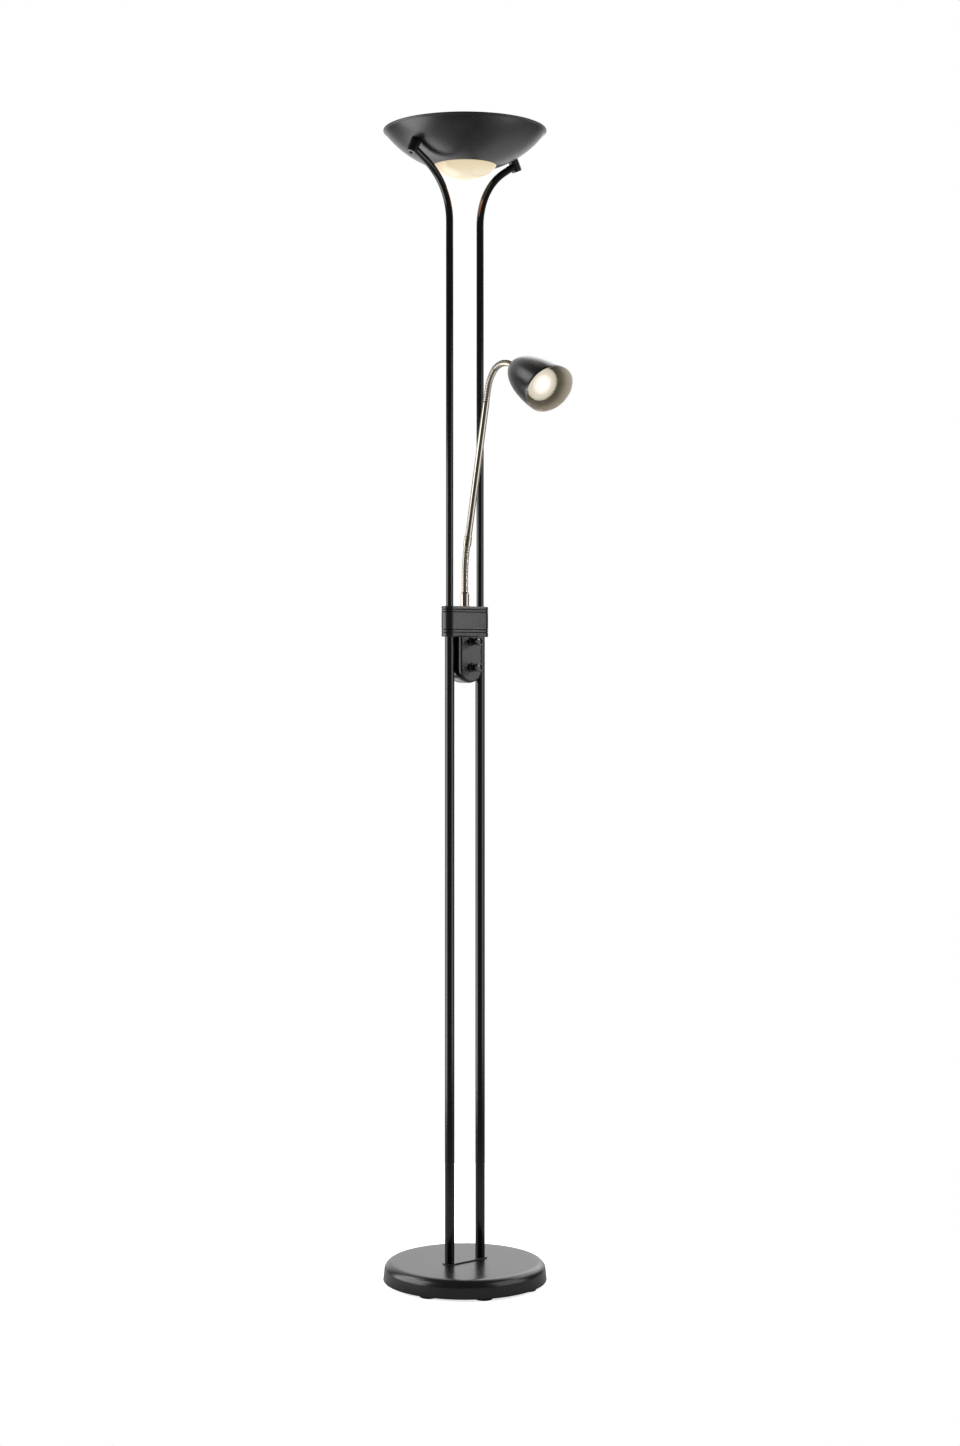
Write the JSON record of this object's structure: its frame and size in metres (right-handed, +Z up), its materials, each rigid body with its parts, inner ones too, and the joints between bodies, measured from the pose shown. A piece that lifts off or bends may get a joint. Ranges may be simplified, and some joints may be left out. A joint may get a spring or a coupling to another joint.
{
  "type": "floor lamp",
  "caption": "Twin-post torchiere floor lamp with an uplighter bowl, a round weighted base, a dimmer box and a flexible reading arm with a bullet-shaped shade.",
  "frame": {"origin": "middle of the base on the floor, at the underside of the centre pad", "axes": "+Z up; X along the line of the two posts; -Y towards the front, where the knobs and the reading arm are"},
  "size_m": [0.255, 0.3874, 1.7952],
  "materials": {
    "black_paint": "satin black powder coat",
    "satin_nickel": "satin nickel plate",
    "cast_iron": "raw casting",
    "zinc_steel": "zinc plated",
    "felt": "pressed felt",
    "rubber": "moulded, matte",
    "grey_plastic": "moulded",
    "black_gloss": "moulded, polished",
    "ceramic": "fired, unglazed",
    "bulb_white": "moulded bulb housing",
    "bulb_glass": "frosted, lit from behind",
    "opal_glass": "opal white, lit from behind",
    "clear_glass": "clear, toughened"
  },
  "bodies": {
    "stand": {"base_cover": "black_paint", "post_plate": "black_paint", "lower_tube_left": "black_paint", "lower_tube_right": "black_paint", "upper_tube_left": "black_paint", "upper_tube_right": "black_paint", "collar": "black_paint", "control_housing": "black_paint", "control_plate": "black_paint", "bowl": "black_paint", "bowl_boss_left": "black_paint", "bowl_boss_right": "black_paint", "base_weight": "cast_iron", "base_plate": "zinc_steel", "post_stud_left": "zinc_steel", "post_stud_right": "zinc_steel", "post_nut_left": "zinc_steel", "post_nut_right": "zinc_steel", "collar_screw_left": "zinc_steel", "collar_screw_right": "zinc_steel", "dimmer_nut_upper": "zinc_steel", "dimmer_nut_lower": "zinc_steel", "arm_nut": "zinc_steel", "bowl_screw_left": "zinc_steel", "bowl_screw_right": "zinc_steel", "lamp_bracket": "zinc_steel", "centre_pad": "felt", "foot_1": "rubber", "foot_2": "rubber", "foot_3": "rubber", "foot_4": "rubber", "foot_5": "rubber", "foot_6": "rubber", "foot_7": "rubber", "foot_8": "rubber", "cable_grommet": "rubber", "dimmer_upper": "grey_plastic", "dimmer_lower": "grey_plastic", "terminal_block": "grey_plastic", "arm_socket": "satin_nickel", "lower_hose_root": "satin_nickel", "lamp_holder_left": "ceramic", "lamp_holder_right": "ceramic", "glass_dome": "opal_glass", "tube_lamp": "clear_glass", "safety_glass": "clear_glass"},
    "upper_knob": {"dimmer_knob_upper": "black_gloss", "dimmer_shaft_upper": "zinc_steel"},
    "lower_knob": {"dimmer_knob_lower": "black_gloss", "dimmer_shaft_lower": "zinc_steel"},
    "lower_hose": {"lower_hose_tip": "satin_nickel"},
    "arm": {"arm_ferrule": "satin_nickel", "arm_tube": "satin_nickel", "upper_hose_root": "satin_nickel"},
    "upper_hose": {"upper_hose_tip": "satin_nickel"},
    "head": {"head_nipple": "zinc_steel", "reading_shade": "black_paint", "bulb_holder": "ceramic", "bulb_body": "bulb_white", "bulb_lens": "bulb_glass"}
  },
  "joints": [
    {"name": "upper_knob_turn", "type": "hinge", "parent": "stand", "child": "upper_knob", "pos_m": [0, -0.026, 0.998], "axis": [0, -1, 0], "range_deg": [0, 280]},
    {"name": "lower_knob_turn", "type": "hinge", "parent": "stand", "child": "lower_knob", "pos_m": [0, -0.026, 0.9572], "axis": [0, -1, 0], "range_deg": [0, 280]},
    {"name": "lower_hose_tilt", "type": "hinge", "parent": "stand", "child": "lower_hose", "pos_m": [0, 0, 1.0906], "axis": [0.9903, -0.1392, 0], "range_deg": [-2, 45], "deforming": ["lower_hose_root"]},
    {"name": "lower_hose_sway", "type": "hinge", "parent": "lower_hose", "child": "arm", "pos_m": [-0.0003, -0.0021, 1.1269], "axis": [0.1376, 0.9794, 0.1478], "range_deg": [-15, 15], "deforming": ["lower_hose_tip"]},
    {"name": "upper_hose_nod", "type": "hinge", "parent": "arm", "child": "upper_hose", "pos_m": [-0.00972, -0.06919, 1.39401], "axis": [0.9903, -0.1392, 0], "range_deg": [-35, 45], "deforming": ["upper_hose_root"]},
    {"name": "upper_hose_swing", "type": "hinge", "parent": "upper_hose", "child": "head", "pos_m": [-0.01608, -0.11441, 1.41966], "axis": [-0.0125, -0.0888, 0.996], "range_deg": [-50, 50], "deforming": ["upper_hose_tip"]}
  ]
}
